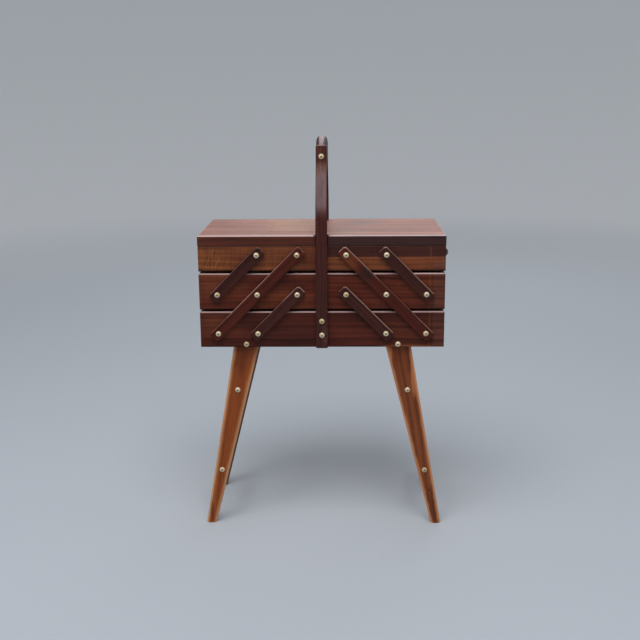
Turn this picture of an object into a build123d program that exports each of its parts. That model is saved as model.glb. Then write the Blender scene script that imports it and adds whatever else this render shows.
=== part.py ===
from build123d import *
import math
import os

# Cantilever sewing box: a fixed base box on four splayed legs, two fans of trays that swing out
# to the left and right on flat wooden links, two hinged lids and a fixed handle over the middle.
# Millimetres. The origin is on the floor under the middle of the box, +X is the right-hand side,
# +Y the rear and +Z up.

# Boxes and trays
overall_height = 704.5
box_width = 430.0
box_depth = 208.0
floor_clearance = 342.0
base_height = 65.0
middle_height = 65.0
upper_height = 44.5
lid_thickness = 18.5
wall_thickness = 9.0
bottom_thickness = 4.0
base_bottom_recess = 14.0
edge_round = 3.0
seam_round = 1.2
rim_ease = 0.8

# Gaps between the tiers, between the trays and the handle slats, and between the two sides
tier_gap = 3.0
lid_gap = 0.5
slat_clearance = 0.6
centre_gap = 1.5

# Links and the places of their pivots
inner_pivot_offset = 42.5
outer_pivot_inset = 33.0
base_pivot_rise = 26.75
upper_pivot_rise = 30.25
link_width = 19.5
link_thickness = 6.0
link_end_reach = 12.5
link_corner_round = 5.5
link_standoff = 2.0
link_edge_round = 1.8
spacer_diameter = 12.0

# Handle with slats that lean in over the lids, and the notches in the lids that clear them
slat_foot_width = 21.8
slat_top_width = 19.2
slat_thickness = 8.0
slat_lower_bend_rise = 38.0
slat_upper_bend_drop = 45.0
slat_bend_radius = 56.0
slat_corner_round = 3.0
slat_edge_round = 1.6
slat_lower_screw_rise = 24.0
slat_upper_screw_rise = 49.0
grip_length = 124.0
grip_thickness = 19.0
grip_end_height = 36.0
grip_crown = 12.5
grip_round = 8.0
grip_screw_drop = 19.0
lid_notch_depth = 24.0
lid_notch_clearance = 0.5

# Legs and the rails between them
leg_top_width = 45.0
leg_foot_width = 18.0
leg_top_inset = 57.5
leg_splay = 60.0
leg_thickness = 19.0
leg_edge_bevel = 3.2
leg_screw_rise = 5.5
rail_diameter = 16.0
upper_rail_share = 0.76
lower_rail_share = 0.31

# Domed cross-head screws
screw_head_diameter = 9.4
screw_head_height = 3.3
screw_rim_height = 0.6
screw_shank_diameter = 4.8
screw_recess_span = 4.2
screw_recess_width = 1.2
screw_recess_depth = 1.5
screw_bite_share = 0.8
screw_turn = 37.0

# Butt hinges of the lids
hinge_length = 28.0
hinge_place = 50.0
hinge_leaf_height = 11.0
hinge_leaf_thickness = 1.2
hinge_barrel_diameter = 4.4
hinge_pin_diameter = 2.0
hinge_nail_head_diameter = 3.2
hinge_nail_head_height = 0.8
hinge_nail_diameter = 1.5
hinge_nail_length = 6.0
hinge_nail_share = 0.62
hinge_nail_spread_share = 0.28

# Turned pull knobs
knob_diameter = 15.0
knob_length = 15.0
knob_collar_diameter = 10.0
knob_neck_diameter = 7.6
knob_tenon_diameter = 6.0
knob_drop = 6.5
knob_neck_share = 0.24
knob_shoulder_share = 0.42
knob_widest_share = 0.68

# Clearances of fixed and of turning fits
fixed_gap = 0.05
running_gap = 0.1

# Levels
base_bottom = floor_clearance
base_top = base_bottom + base_height
middle_bottom = base_top + tier_gap
middle_top = middle_bottom + middle_height
upper_bottom = middle_top + tier_gap
upper_top = upper_bottom + upper_height
lid_bottom = upper_top + lid_gap
lid_top = lid_bottom + lid_thickness
grip_top = overall_height
slat_top = grip_top - grip_crown
grip_bottom = slat_top - grip_end_height
lower_bend = lid_top + slat_lower_bend_rise
upper_bend = slat_top - slat_upper_bend_drop
hinge_level = (upper_top + lid_bottom) / 2
knob_level = (upper_bottom + upper_top) / 2 - knob_drop
leg_top = base_bottom + base_bottom_recess
leg_screw_level = base_bottom + leg_screw_rise
rail_levels = [floor_clearance * upper_rail_share, floor_clearance * lower_rail_share]
slat_screw_levels = [base_bottom + slat_lower_screw_rise, base_bottom + slat_upper_screw_rise]
grip_screw_level = slat_top - grip_screw_drop

# Distances from the middle planes
half_width = box_width / 2
base_face = box_depth / 2
tray_face = base_face - slat_clearance
link_back = base_face + link_standoff
link_front = link_back + link_thickness
slat_front = base_face + slat_thickness
grip_reach = grip_length / 2
grip_slat_front = grip_reach + slat_thickness
lid_notch_reach = slat_foot_width / 2 + lid_notch_clearance
leg_face = base_face - wall_thickness
leg_back = leg_face - leg_thickness
hinge_axis = half_width + hinge_barrel_diameter / 2 + running_gap

# Pivot columns, counted from the middle of the box outwards, and pivot rows
inner_column = inner_pivot_offset
outer_column = half_width - outer_pivot_inset
middle_column = (inner_column + outer_column) / 2
base_row = base_bottom + base_pivot_rise
upper_row = upper_bottom + upper_pivot_rise
middle_row = (base_row + upper_row) / 2

base_pivots = [(outer_column, base_row), (middle_column, base_row)]
middle_pivots = [(outer_column, middle_row), (middle_column, middle_row), (inner_column, middle_row)]
upper_pivots = [(middle_column, upper_row), (inner_column, upper_row)]
long_link_pivots = [base_pivots[0], middle_pivots[1], upper_pivots[1]]
lower_link_pivots = [base_pivots[1], middle_pivots[2]]
upper_link_pivots = [middle_pivots[0], upper_pivots[0]]

# How deep the screws go into what they hold, and the radii of the holes of screws and nails
screw_bite = wall_thickness * screw_bite_share
leg_bite = leg_thickness / 2
rail_bite = rail_diameter
grip_bite = grip_thickness
shank_hole = screw_shank_diameter / 2 + fixed_gap
pivot_hole = screw_shank_diameter / 2 + running_gap
nail_hole = hinge_nail_diameter / 2 + fixed_gap

# Least share of a face's direction that points outwards on the outer side of a slat
outward_share = 0.5

sides = {"left": -1, "right": 1}
faces = {"front": -1, "rear": 1}


def board(x_limits, y_limits, z_limits):
    """Square-edged board between three pairs of limits, given in either order."""
    limits = [x_limits, y_limits, z_limits]
    middle = [(start + end) / 2 for start, end in limits]
    size = [abs(end - start) for start, end in limits]
    return Pos(*middle) * Box(*size)


def outermost(solid, axis, sign):
    """Edges around the face of a solid that lies furthest along an axis."""
    groups = solid.edges().group_by(axis)
    return groups[-1] if sign > 0 else groups[0]


def on_face(x, z, distance, face):
    """Plane parallel to the front or rear of the box that looks outwards."""
    return Plane(origin=(x, face * distance, z), x_dir=(1, 0, 0), z_dir=(0, face, 0))


def on_end(y, z, distance, side):
    """Plane parallel to the left or right end of the box that looks outwards."""
    return Plane(origin=(side * distance, y, z), x_dir=(0, 1, 0), z_dir=(side, 0, 0))


def drill(plane, radius, depth):
    """Round cutter that runs inwards from a plane."""
    return plane.location * extrude(Circle(radius), amount=-depth)


def rod(plane, radius, length):
    """Round bar that runs outwards from a plane."""
    return plane.location * extrude(Circle(radius), amount=length)


def screw(plane, shank_length, turn):
    """Domed cross-head screw with the underside of its head on a plane."""
    head_radius = screw_head_diameter / 2
    profile = make_face(
        [
            Line((0, 0), (head_radius, 0)),
            Line((head_radius, 0), (head_radius, screw_rim_height)),
            TangentArc((0, screw_head_height), (head_radius, screw_rim_height), tangent=(1, 0)),
            Line((0, screw_head_height), (0, 0)),
        ]
    )
    dome = revolve(Plane.XZ * profile, Axis.Z)
    recess_middle = screw_head_height - screw_recess_depth / 2
    slot = Pos(0, 0, recess_middle) * Box(screw_recess_span, screw_recess_width, screw_recess_depth)
    shank = extrude(Circle(screw_shank_diameter / 2), amount=-shank_length)
    blank = dome + shank - slot - Rot(0, 0, 90) * slot
    return plane.location * Rot(0, 0, turn) * blank


def spacer(plane, thickness):
    """Ring that holds a link off the wall behind it."""
    ring = extrude(Circle(spacer_diameter / 2) - Circle(shank_hole), amount=thickness)
    return plane.location * ring


def wall(x_limits, distance, z_limits, face, top_round):
    """Front or rear wall with the edges of its outer face rounded over and its inner rim eased."""
    blank = board(x_limits, (face * distance, face * (distance - wall_thickness)), z_limits)
    inner_rim = outermost(blank, Axis.Y, -face).filter_by(Axis.X).sort_by(Axis.Z)[-1]
    eased = fillet(inner_rim, rim_ease)
    outer_edges = outermost(eased, Axis.Y, face).sort_by(Axis.Z)
    rounded = fillet(outer_edges[:-1], edge_round)
    top_edges = outermost(rounded, Axis.Z, 1)
    return fillet(top_edges.filter_by(lambda edge: face * edge.center().Y > distance - edge_round), top_round)


def end(outside, sign, distance, z_limits, top_round):
    """End wall that fits between the front and rear walls, outer face at a place along X."""
    reach = distance - wall_thickness
    blank = board((outside, outside - sign * wall_thickness), (-reach, reach), z_limits)
    inner_rim = outermost(blank, Axis.X, -sign).filter_by(Axis.Y).sort_by(Axis.Z)[-1]
    eased = fillet(inner_rim, rim_ease)
    upper_edge = outermost(eased, Axis.X, sign).filter_by(Axis.Y).sort_by(Axis.Z)[-1]
    rounded = fillet(upper_edge, top_round)
    lower_edge = outermost(rounded, Axis.X, sign).filter_by(Axis.Y).sort_by(Axis.Z)[0]
    return fillet(lower_edge, edge_round)


def bottom(x_limits, distance, level):
    """Bottom board that fits inside the four walls."""
    reach = distance - wall_thickness
    start, stop = sorted(x_limits)
    inside = (start + wall_thickness, stop - wall_thickness)
    return board(inside, (-reach, reach), (level, level + bottom_thickness))


def pivot_fasteners(pivots, side, distance):
    """Screws and spacers of one body's pivots on the front and rear of one side."""
    spacer_thickness = link_back - running_gap - distance
    shank_length = link_front + running_gap - distance + screw_bite
    pieces = []
    for face in faces.values():
        for number, (x, z) in enumerate(pivots):
            turn = screw_turn * (number + face + side)
            pieces.append(screw(on_face(side * x, z, link_front + running_gap, face), shank_length, turn))
            pieces.append(spacer(on_face(side * x, z, distance, face), spacer_thickness))
    return pieces


def link(pivots, side, face):
    """Flat bar through a row of pivots, with square ends whose corners are rounded."""
    (first_x, first_z), (last_x, last_z) = pivots[0], pivots[-1]
    run = side * (last_x - first_x)
    rise = last_z - first_z
    span = math.hypot(run, rise)
    outline = RectangleRounded(span + 2 * link_end_reach, link_width, link_corner_round)
    blank = extrude(outline, amount=link_thickness)
    front_edges = outermost(blank, Axis.Z, 1)
    bar = fillet(front_edges, link_edge_round)
    middle = (side * (first_x + last_x) / 2, face * link_back, (first_z + last_z) / 2)
    place = Plane(origin=middle, x_dir=(run, 0, rise), z_dir=(0, face, 0))
    placed = place.location * bar
    for x, z in pivots:
        placed -= drill(on_face(side * x, z, link_front, face), pivot_hole, link_thickness)
    return placed


def tray(side, z_limits, pivots, top_round):
    """Four walls and the bottom of one tray, with the holes of its pivot screws."""
    x_limits = (side * centre_gap / 2, side * half_width)
    pieces = {}
    for name, face in faces.items():
        panel = wall(x_limits, tray_face, z_limits, face, top_round)
        for x, z in pivots:
            panel -= drill(on_face(side * x, z, tray_face, face), shank_hole, screw_bite)
        pieces[name] = [panel]
    outer_end = end(x_limits[1], side, tray_face, z_limits, top_round)
    inner_end = end(x_limits[0], -side, tray_face, z_limits, top_round)
    pieces["ends"] = [outer_end, inner_end]
    pieces["bottom"] = [bottom(x_limits, tray_face, z_limits[0])]
    return pieces


def leg_edges(level):
    """Inner and outer edge of a leg at a level, measured from the middle of the box."""
    drop = (base_bottom - level) / floor_clearance
    outer = half_width - leg_top_inset + leg_splay * drop
    width = leg_top_width + (leg_foot_width - leg_top_width) * drop
    return outer - width, outer


def leg_middle(level):
    """Middle line of a leg at a level, measured from the middle of the box."""
    return sum(leg_edges(level)) / 2


def leg(side, face):
    """Flat tapered leg that stands behind the lower edge of the base wall."""
    top_inner, top_outer = leg_edges(leg_top)
    foot_inner, foot_outer = leg_edges(0)
    corners = [
        (side * top_inner, leg_top),
        (side * top_outer, leg_top),
        (side * foot_outer, 0),
        (side * foot_inner, 0),
    ]
    outline = make_face(Polyline(*corners, close=True))
    front = -leg_face if face < 0 else leg_back
    placed = Pos(0, front + leg_thickness, 0) * extrude(Plane.XZ * outline, amount=leg_thickness)
    long_edges = placed.edges().filter_by(lambda edge: edge.length > floor_clearance)
    shaped = chamfer(long_edges, leg_edge_bevel)
    holes = [(leg_screw_level, leg_bite)] + [(level, leg_thickness) for level in rail_levels]
    for level, depth in holes:
        shaped -= drill(on_face(side * leg_middle(level), level, leg_face, face), shank_hole, depth)
    return shaped


def rail(side, level):
    """Round rail between the front and rear leg of one side."""
    x = side * leg_middle(level)
    bar = rod(on_face(x, level, -leg_back, faces["rear"]), rail_diameter / 2, 2 * leg_back)
    for face in faces.values():
        bar -= drill(on_face(x, level, leg_back, face), shank_hole, rail_bite)
    return bar


def slat(face):
    """Upright of the handle, straight past the trays and at the grip and leaning in between the two."""
    foot = base_face + slat_thickness / 2
    head = grip_reach + slat_thickness / 2
    places = [(foot, base_bottom), (foot, lower_bend), (head, upper_bend), (head, slat_top)]
    side_view = trace(FilletPolyline(*places, radius=slat_bend_radius), slat_thickness)
    side_plane = Plane(origin=(0, 0, 0), x_dir=(0, face, 0), z_dir=(face, 0, 0))
    bent = side_plane.location * extrude(side_view, amount=slat_foot_width / 2, both=True)
    corners = [
        (-slat_foot_width / 2, base_bottom),
        (slat_foot_width / 2, base_bottom),
        (slat_top_width / 2, slat_top),
        (-slat_top_width / 2, slat_top),
    ]
    outline = make_face(Polyline(*corners, close=True))
    front_view = fillet(outline.vertices(), slat_corner_round)
    blank = bent & extrude(Plane.XZ * front_view, amount=slat_front, both=True)
    outside = blank.faces().filter_by(lambda side: face * side.normal_at().Y > outward_share)
    across = outside.edges().filter_by(Axis.X).group_by(Axis.Z)
    along = outside.edges().filter_by(Axis.X, reverse=True)
    shaped = fillet(across[0] + along + across[-1], slat_edge_round)
    for level in slat_screw_levels:
        shaped -= drill(on_face(0, level, slat_front, face), shank_hole, slat_thickness)
    return shaped - drill(on_face(0, grip_screw_level, grip_slat_front, face), shank_hole, slat_thickness)


def grip():
    """Bar between the slats, bowed upwards and rounded along its edges."""
    corners = [
        (-grip_reach, slat_top),
        (-grip_reach, grip_bottom),
        (grip_reach, grip_bottom),
        (grip_reach, slat_top),
    ]
    bow = ThreePointArc(corners[0], (0, grip_top), corners[-1])
    side_view = make_face([Polyline(*corners), bow])
    blank = extrude(Plane.YZ * side_view, amount=grip_thickness / 2, both=True)
    long_edges = blank.edges().filter_by(lambda edge: edge.length > grip_length - grip_round)
    shaped = fillet(long_edges, grip_round)
    for face in faces.values():
        shaped -= drill(on_face(0, grip_screw_level, grip_reach, face), shank_hole, grip_bite)
    return shaped


def hinge_nails(sign):
    """Places of the nails of one leaf on each hinge, sign +1 for the lid leaf and -1 for the tray leaf."""
    level = hinge_level + sign * hinge_leaf_height * hinge_nail_share
    spread = hinge_length * hinge_nail_spread_share
    return [
        (place * hinge_place + step * spread, level) for place in faces.values() for step in faces.values()
    ]


def hinge_leaves(side, sign):
    """Leaves of both hinges of one lid, with their nails; the tray leaf holds the two outer knuckles."""
    barrel = hinge_barrel_diameter / 2
    knuckle = hinge_length / 3
    outside = half_width + hinge_leaf_thickness
    x_limits = (side * half_width, side * outside)
    pieces = []
    for place in faces.values():
        middle = place * hinge_place
        starts = [middle - knuckle / 2] if sign > 0 else [middle - hinge_length / 2, middle + knuckle / 2]
        plate_limits = (hinge_level + sign * (barrel + running_gap), hinge_level + sign * hinge_leaf_height)
        leaf = board(x_limits, (middle - hinge_length / 2, middle + hinge_length / 2), plate_limits)
        for start in starts:
            inner, outer = start + running_gap, start + knuckle - running_gap
            leaf += board(x_limits, (inner, outer), (hinge_level, plate_limits[0]))
            leaf += rod(on_face(side * hinge_axis, hinge_level, inner, 1), barrel, outer - inner)
        leaf -= rod(
            on_face(side * hinge_axis, hinge_level, middle - hinge_length, 1),
            hinge_pin_diameter / 2 + fixed_gap,
            2 * hinge_length,
        )
        for y, z in hinge_nails(sign):
            leaf -= drill(on_end(y, z, outside, side), nail_hole, hinge_leaf_thickness)
        pieces.append(leaf)
    for y, z in hinge_nails(sign):
        plane = on_end(y, z, outside, side)
        head = rod(plane, hinge_nail_head_diameter / 2, hinge_nail_head_height)
        shank = drill(plane, hinge_nail_diameter / 2, hinge_nail_length)
        pieces.append(head + shank)
    return pieces


def hinge_pins(side):
    """Pins of both hinges of one lid."""
    return [
        rod(
            on_face(side * hinge_axis, hinge_level, place * hinge_place - hinge_length / 2, 1),
            hinge_pin_diameter / 2,
            hinge_length,
        )
        for place in faces.values()
    ]


def nail_holes(solid, side, sign):
    """End of a tray or lid with the holes of its hinge nails."""
    depth = hinge_nail_length - hinge_leaf_thickness
    for y, z in hinge_nails(sign):
        solid -= drill(on_end(y, z, half_width, side), nail_hole, depth)
    return solid


def lid(side):
    """Board over the upper tray, notched behind the slats, with its upper edges rounded over."""
    x_limits = (side * centre_gap / 2, side * half_width)
    z_limits = (lid_bottom, lid_top)
    blank = board(x_limits, (-tray_face, tray_face), z_limits)
    for face in faces.values():
        y_limits = (face * tray_face, face * (tray_face - lid_notch_depth))
        blank -= board((0, side * lid_notch_reach), y_limits, z_limits)
    rounded = fillet(outermost(blank, Axis.Z, 1), edge_round)
    eased = fillet(outermost(rounded, Axis.Z, -1), rim_ease)
    return nail_holes(eased, side, 1)


def knob(side):
    """Turned pull knob with a tenon let into the outer end of the upper tray."""
    tenon = knob_tenon_diameter / 2
    collar = knob_collar_diameter / 2
    waist = (knob_neck_diameter / 2, knob_length * knob_neck_share)
    shoulder = (collar, knob_length * knob_shoulder_share)
    widest = (knob_diameter / 2, knob_length * knob_widest_share)
    tip = (0, knob_length)
    profile = make_face(
        [
            Line((0, -screw_bite), (tenon, -screw_bite)),
            Line((tenon, -screw_bite), (tenon, 0)),
            Line((tenon, 0), (collar, 0)),
            ThreePointArc((collar, 0), waist, shoulder),
            TangentArc(widest, shoulder, tangent=(0, -1)),
            TangentArc(tip, widest, tangent=(1, 0)),
            Line(tip, (0, -screw_bite)),
        ]
    )
    return on_end(0, knob_level, half_width, side).location * revolve(Plane.XZ * profile, Axis.Z)


nodes = {}

# Base box
base_width_limits = (-half_width, half_width)
base_level_limits = (base_bottom, base_top)
for face_name, face in faces.items():
    panel = wall(base_width_limits, base_face, base_level_limits, face, edge_round)
    for side in sides.values():
        for x, z in base_pivots:
            panel -= drill(on_face(side * x, z, base_face, face), shank_hole, screw_bite)
        leg_screw_plane = on_face(side * leg_middle(leg_screw_level), leg_screw_level, base_face, face)
        panel -= drill(leg_screw_plane, shank_hole, wall_thickness)
    for level in slat_screw_levels:
        panel -= drill(on_face(0, level, base_face, face), shank_hole, screw_bite)
    nodes[f"base_{face_name}_panel"] = [panel]
for side_name, side in sides.items():
    nodes[f"base_{side_name}_end"] = [end(side * half_width, side, base_face, base_level_limits, edge_round)]
nodes["base_bottom_panel"] = [bottom(base_width_limits, base_face, leg_top)]

# Legs and rails
for face_name, face in faces.items():
    for side_name, side in sides.items():
        nodes[f"leg_{face_name}_{side_name}"] = [leg(side, face)]
for side_name, side in sides.items():
    nodes[f"{side_name}_leg_rails"] = [rail(side, level) for level in rail_levels]

# Handle
for face_name, face in faces.items():
    nodes[f"handle_{face_name}_slat"] = [slat(face)]
nodes["handle_grip"] = [grip()]

# Fixed screws
handle_screws = []
leg_screws = []
for face in faces.values():
    for number, level in enumerate(slat_screw_levels):
        turn = screw_turn * (number + face)
        handle_screws.append(screw(on_face(0, level, slat_front, face), slat_thickness + screw_bite, turn))
    grip_screw_plane = on_face(0, grip_screw_level, grip_slat_front, face)
    handle_screws.append(screw(grip_screw_plane, slat_thickness + grip_bite, screw_turn * face))
    for side in sides.values():
        turn = screw_turn * (side + face)
        leg_screw_plane = on_face(side * leg_middle(leg_screw_level), leg_screw_level, base_face, face)
        leg_screws.append(screw(leg_screw_plane, wall_thickness + leg_bite, turn))
        for number, level in enumerate(rail_levels):
            rail_screw_plane = on_face(side * leg_middle(level), level, leg_face, face)
            leg_screws.append(screw(rail_screw_plane, leg_thickness + rail_bite, turn + screw_turn * number))
nodes["handle_screws"] = handle_screws
nodes["leg_screws"] = leg_screws
nodes["base_pivot_screws"] = [
    piece for side in sides.values() for piece in pivot_fasteners(base_pivots, side, base_face)
]

# Links
links = {"long": long_link_pivots, "lower": lower_link_pivots, "upper": upper_link_pivots}
for side_name, side in sides.items():
    for face_name, face in faces.items():
        for link_name, pivots in links.items():
            nodes[f"{side_name}_{face_name}_{link_name}_link"] = [link(pivots, side, face)]

# Trays, lids, hinges and knobs
tiers = {
    "middle": ((middle_bottom, middle_top), middle_pivots, edge_round),
    "upper": ((upper_bottom, upper_top), upper_pivots, seam_round),
}
for side_name, side in sides.items():
    for tier_name, (z_limits, pivots, top_round) in tiers.items():
        pieces = tray(side, z_limits, pivots, top_round)
        if tier_name == "upper":
            outer_end = nail_holes(pieces["ends"][0], side, -1)
            knob_plane = on_end(0, knob_level, half_width, side)
            outer_end -= drill(knob_plane, knob_tenon_diameter / 2 + fixed_gap, screw_bite)
            pieces["ends"][0] = outer_end
        for piece_name, solids in pieces.items():
            nodes[f"{side_name}_{tier_name}_tray_{piece_name}"] = solids
        nodes[f"{side_name}_{tier_name}_pivot_screws"] = pivot_fasteners(pivots, side, tray_face)
    nodes[f"{side_name}_lid"] = [lid(side)]
    nodes[f"{side_name}_hinge_tray_leaves"] = hinge_leaves(side, -1)
    nodes[f"{side_name}_hinge_lid_leaves"] = hinge_leaves(side, 1)
    nodes[f"{side_name}_hinge_pins"] = hinge_pins(side)
    nodes[f"{side_name}_pull_knob"] = [knob(side)]

os.makedirs("parts", exist_ok=True)
for name, solids in nodes.items():
    export_step(Compound(children=solids), f"parts/{name}.step")
    print(name, len(solids))
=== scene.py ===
"""Cantilever sewing box in stained wood and brass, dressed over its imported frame. Lengths are in metres."""

import logging
import math
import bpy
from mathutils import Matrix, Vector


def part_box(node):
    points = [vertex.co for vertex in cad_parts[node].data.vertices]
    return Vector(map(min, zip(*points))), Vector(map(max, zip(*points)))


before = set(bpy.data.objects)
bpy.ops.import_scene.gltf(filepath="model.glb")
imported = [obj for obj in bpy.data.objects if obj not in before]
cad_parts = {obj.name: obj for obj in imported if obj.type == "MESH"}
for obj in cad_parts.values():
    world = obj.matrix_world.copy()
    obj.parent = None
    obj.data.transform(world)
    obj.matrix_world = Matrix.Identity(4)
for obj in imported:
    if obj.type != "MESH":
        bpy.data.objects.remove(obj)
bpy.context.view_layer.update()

import zlib
from dataclasses import dataclass, replace
from enum import Enum, auto
from functools import reduce
from typing import Any, Callable, Mapping, Optional, Protocol, Union

import bpy
from mathutils import Matrix, Vector

log = logging.getLogger("sewing_box")

Colour = tuple[float, float, float, float]
Triple = tuple[float, float, float]
Pair = tuple[float, float]
Number = Union[float, "Value"]
Paint = Union[Colour, "Value"]
Settings = Optional[Mapping[str, Any]]
Sockets = Optional[Mapping[Union[str, int], Any]]

ALONG_X: Triple = (1.0, 0.0, 0.0)
ALONG_Y: Triple = (0.0, 1.0, 0.0)
ALONG_Z: Triple = (0.0, 0.0, 1.0)
DOWN: Triple = (0.0, 0.0, -1.0)
INNER_FACING: Pair = (0.3, 0.6)
UNDERSIDE_FACING: Pair = (-0.6, -0.9)


def tint(code: str) -> Colour:
    """Gives the linear colour of a web colour code.

    Args:
        code: six hexadecimal digits, red, green and blue.

    Returns:
        Linear red, green, blue and an alpha of one.
    """
    shares = [int(code[place:place + 2], 16) / 255 for place in (0, 2, 4)]
    linear = [share / 12.92 if share <= 0.04045 else ((share + 0.055) / 1.055) ** 2.4 for share in shares]
    return (linear[0], linear[1], linear[2], 1.0)


def luck(name: str) -> float:
    """Fixed number between 0 and 100 that belongs to a name."""
    return zlib.crc32(name.encode()) % 10000 / 100


class Named(Enum):
    """Choice whose name, in small letters, is a word in the names of the nodes."""

    @property
    def word(self) -> str:
        """Name of the choice as the nodes have it."""
        return self.name.lower()


class Side(Named):
    """The two halves of the box, with the sign of their X."""

    LEFT = -1
    RIGHT = 1


class Face(Named):
    """The two long faces of the box, with the sign of their Y."""

    FRONT = -1
    REAR = 1


class Tier(Named):
    """The two tiers of swinging trays."""

    MIDDLE = auto()
    UPPER = auto()


class LinkKind(Named):
    """The three links on each face of a side."""

    LONG = auto()
    LOWER = auto()
    UPPER = auto()


class PatchShape(Enum):
    """Outline of a stain patch: a soft round cloud or a square-edged band."""

    CLOUD = auto()
    BAND = auto()


class Value:
    """Shader socket that takes part in Python sums."""

    def __init__(self, shader: "Shader", socket: bpy.types.NodeSocket) -> None:
        """Wraps one output socket of a shader."""
        self.shader = shader
        self.socket = socket

    def __add__(self, other: Number) -> "Value":
        """Sum of two values."""
        return self.shader.math("ADD", self, other)

    def __sub__(self, other: Number) -> "Value":
        """Difference of two values."""
        return self.shader.math("SUBTRACT", self, other)

    def __rsub__(self, other: Number) -> "Value":
        """Difference with this value taken away."""
        return self.shader.math("SUBTRACT", other, self)

    def __mul__(self, other: Number) -> "Value":
        """Product of two values."""
        return self.shader.math("MULTIPLY", self, other)

    def __truediv__(self, other: Number) -> "Value":
        """Quotient of two values."""
        return self.shader.math("DIVIDE", self, other)

    __radd__ = __add__
    __rmul__ = __mul__

    def least(self, other: Number) -> "Value":
        """Smaller of two values."""
        return self.shader.math("MINIMUM", self, other)

    def most(self, other: Number) -> "Value":
        """Larger of two values."""
        return self.shader.math("MAXIMUM", self, other)

    def size(self) -> "Value":
        """Value without its sign."""
        return self.shader.math("ABSOLUTE", self)

    def root(self) -> "Value":
        """Square root."""
        return self.shader.math("SQRT", self)

    def ramp(self, start: Number, stop: Number) -> "Value":
        """Climbs smoothly from 0 to 1 between two values, or falls where the first is larger.

        Args:
            start: value at which the result is 0.
            stop: value at which the result is 1.

        Returns:
            The climb, held at 0 and 1 outside the two values.
        """
        settings = {"interpolation_type": "SMOOTHSTEP"}
        sockets = {"Value": self, "From Min": start, "From Max": stop, "To Min": 0.0, "To Max": 1.0}
        return self.shader.output("MapRange", "Result", settings, sockets)


class Shader:
    """Node tree that is written as expressions."""

    MIX_FACTOR, MIX_FIRST, MIX_SECOND, MIX_RESULT = 0, 6, 7, 2

    def __init__(self, tree: bpy.types.NodeTree) -> None:
        """Starts with an empty tree."""
        self.tree = tree
        tree.nodes.clear()

    def node(self, kind: str, settings: Settings = None, sockets: Sockets = None) -> bpy.types.Node:
        """Adds a node of any type.

        Args:
            kind: the node's type without its common prefix.
            settings: the node's own properties, set before its sockets.
            sockets: values or links of its inputs, by name or number.

        Returns:
            The new node.
        """
        node = self.tree.nodes.new("ShaderNode" + kind)
        for name, setting in (settings or {}).items():
            setattr(node, name, setting)
        for key, value in (sockets or {}).items():
            if isinstance(value, Value):
                self.tree.links.new(value.socket, node.inputs[key])
            else:
                node.inputs[key].default_value = value
        return node

    def output(
        self, kind: str, result: Union[str, int], settings: Settings = None, sockets: Sockets = None
    ) -> Value:
        """Adds a node and gives one of its outputs, by name or number."""
        return Value(self, self.node(kind, settings, sockets).outputs[result])

    def math(self, operation: str, *terms: Number) -> Value:
        """Adds a Math node with its terms in order."""
        return self.output("Math", 0, {"operation": operation}, dict(enumerate(terms)))

    def vector(self, x: Number, y: Number, z: Number) -> Value:
        """Vector of three values."""
        return self.output("CombineXYZ", 0, None, {0: x, 1: y, 2: z})

    def split(self, vector: Value) -> tuple[Value, Value, Value]:
        """Three parts of a vector."""
        node = self.node("SeparateXYZ", None, {0: vector})
        return Value(self, node.outputs[0]), Value(self, node.outputs[1]), Value(self, node.outputs[2])

    def dot(self, vector: Value, direction: Triple) -> Value:
        """Reach of a vector along a fixed direction."""
        return self.output("VectorMath", "Value", {"operation": "DOT_PRODUCT"}, {0: vector, 1: direction})

    def mix(self, factor: Number, first: Paint, second: Paint, blend: str = "MIX") -> Value:
        """Mixes two colours.

        Args:
            factor: share of the second colour.
            first: colour, or a value that gives one.
            second: colour, or a value that gives one.
            blend: Blender's name of the way they mix.

        Returns:
            The mixed colour.
        """
        settings = {"data_type": "RGBA", "blend_type": blend, "clamp_factor": True}
        sockets = {self.MIX_FACTOR: factor, self.MIX_FIRST: first, self.MIX_SECOND: second}
        return self.output("Mix", self.MIX_RESULT, settings, sockets)

    def noise(self, vector: Value, detail: float, roughness: float = 0.5, scale: float = 1.0) -> Value:
        """Cloudy noise around one half, with a number of clouds for each unit of the place."""
        sockets = {"Vector": vector, "Scale": scale, "Detail": detail, "Roughness": roughness}
        return self.output("TexNoise", "Fac", {"noise_dimensions": "3D"}, sockets)

    def principled(self, varying: Mapping[str, Any], fixed: Mapping[str, Any]) -> None:
        """Ends a material in one Principled shader, with varying inputs and fixed ones."""
        surface = self.output("BsdfPrincipled", "BSDF", None, {**varying, **fixed})
        self.node("OutputMaterial", None, {"Surface": surface})

    def relief(self, height: Value, strength: float, depth: float) -> Value:
        """Surface direction over a height whose unit is as long as the depth."""
        sockets = {"Strength": strength, "Distance": depth, "Height": height}
        return self.output("Bump", "Normal", None, sockets)


class Surface:
    """Place and facing of a point on a piece at rest."""

    def __init__(self, shader: Shader) -> None:
        """Reads the object's own coordinates.

        Args:
            shader: the tree of the piece's material.
        """
        coordinates = shader.node("TexCoord")
        self.shader = shader
        self.place = Value(shader, coordinates.outputs["Object"])
        self.facing = Value(shader, coordinates.outputs["Normal"])
        self.x, self.y, self.z = shader.split(self.place)
        self.facing_x, self.facing_y, self.facing_z = shader.split(self.facing)


Measure = Callable[[Surface], Value]


def box_edges(low: Vector, high: Vector) -> Measure:
    """Makes the measure of how far a point on a square board lies from the board's nearest edge.

    Args:
        low: the board's lowest corner.
        high: the board's highest corner.

    Returns:
        A measure whose value is the middle one of the distances to the three pairs of faces.
    """
    def distance(surface: Surface) -> Value:
        """Measures one point.

        Args:
            surface: the point.

        Returns:
            Its distance from the nearest edge.
        """
        first, second, third = [
            (part - low[axis]).least(high[axis] - part)
            for axis, part in enumerate((surface.x, surface.y, surface.z))
        ]
        return first.least(second).most(first.most(second).least(third))
    return distance


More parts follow.
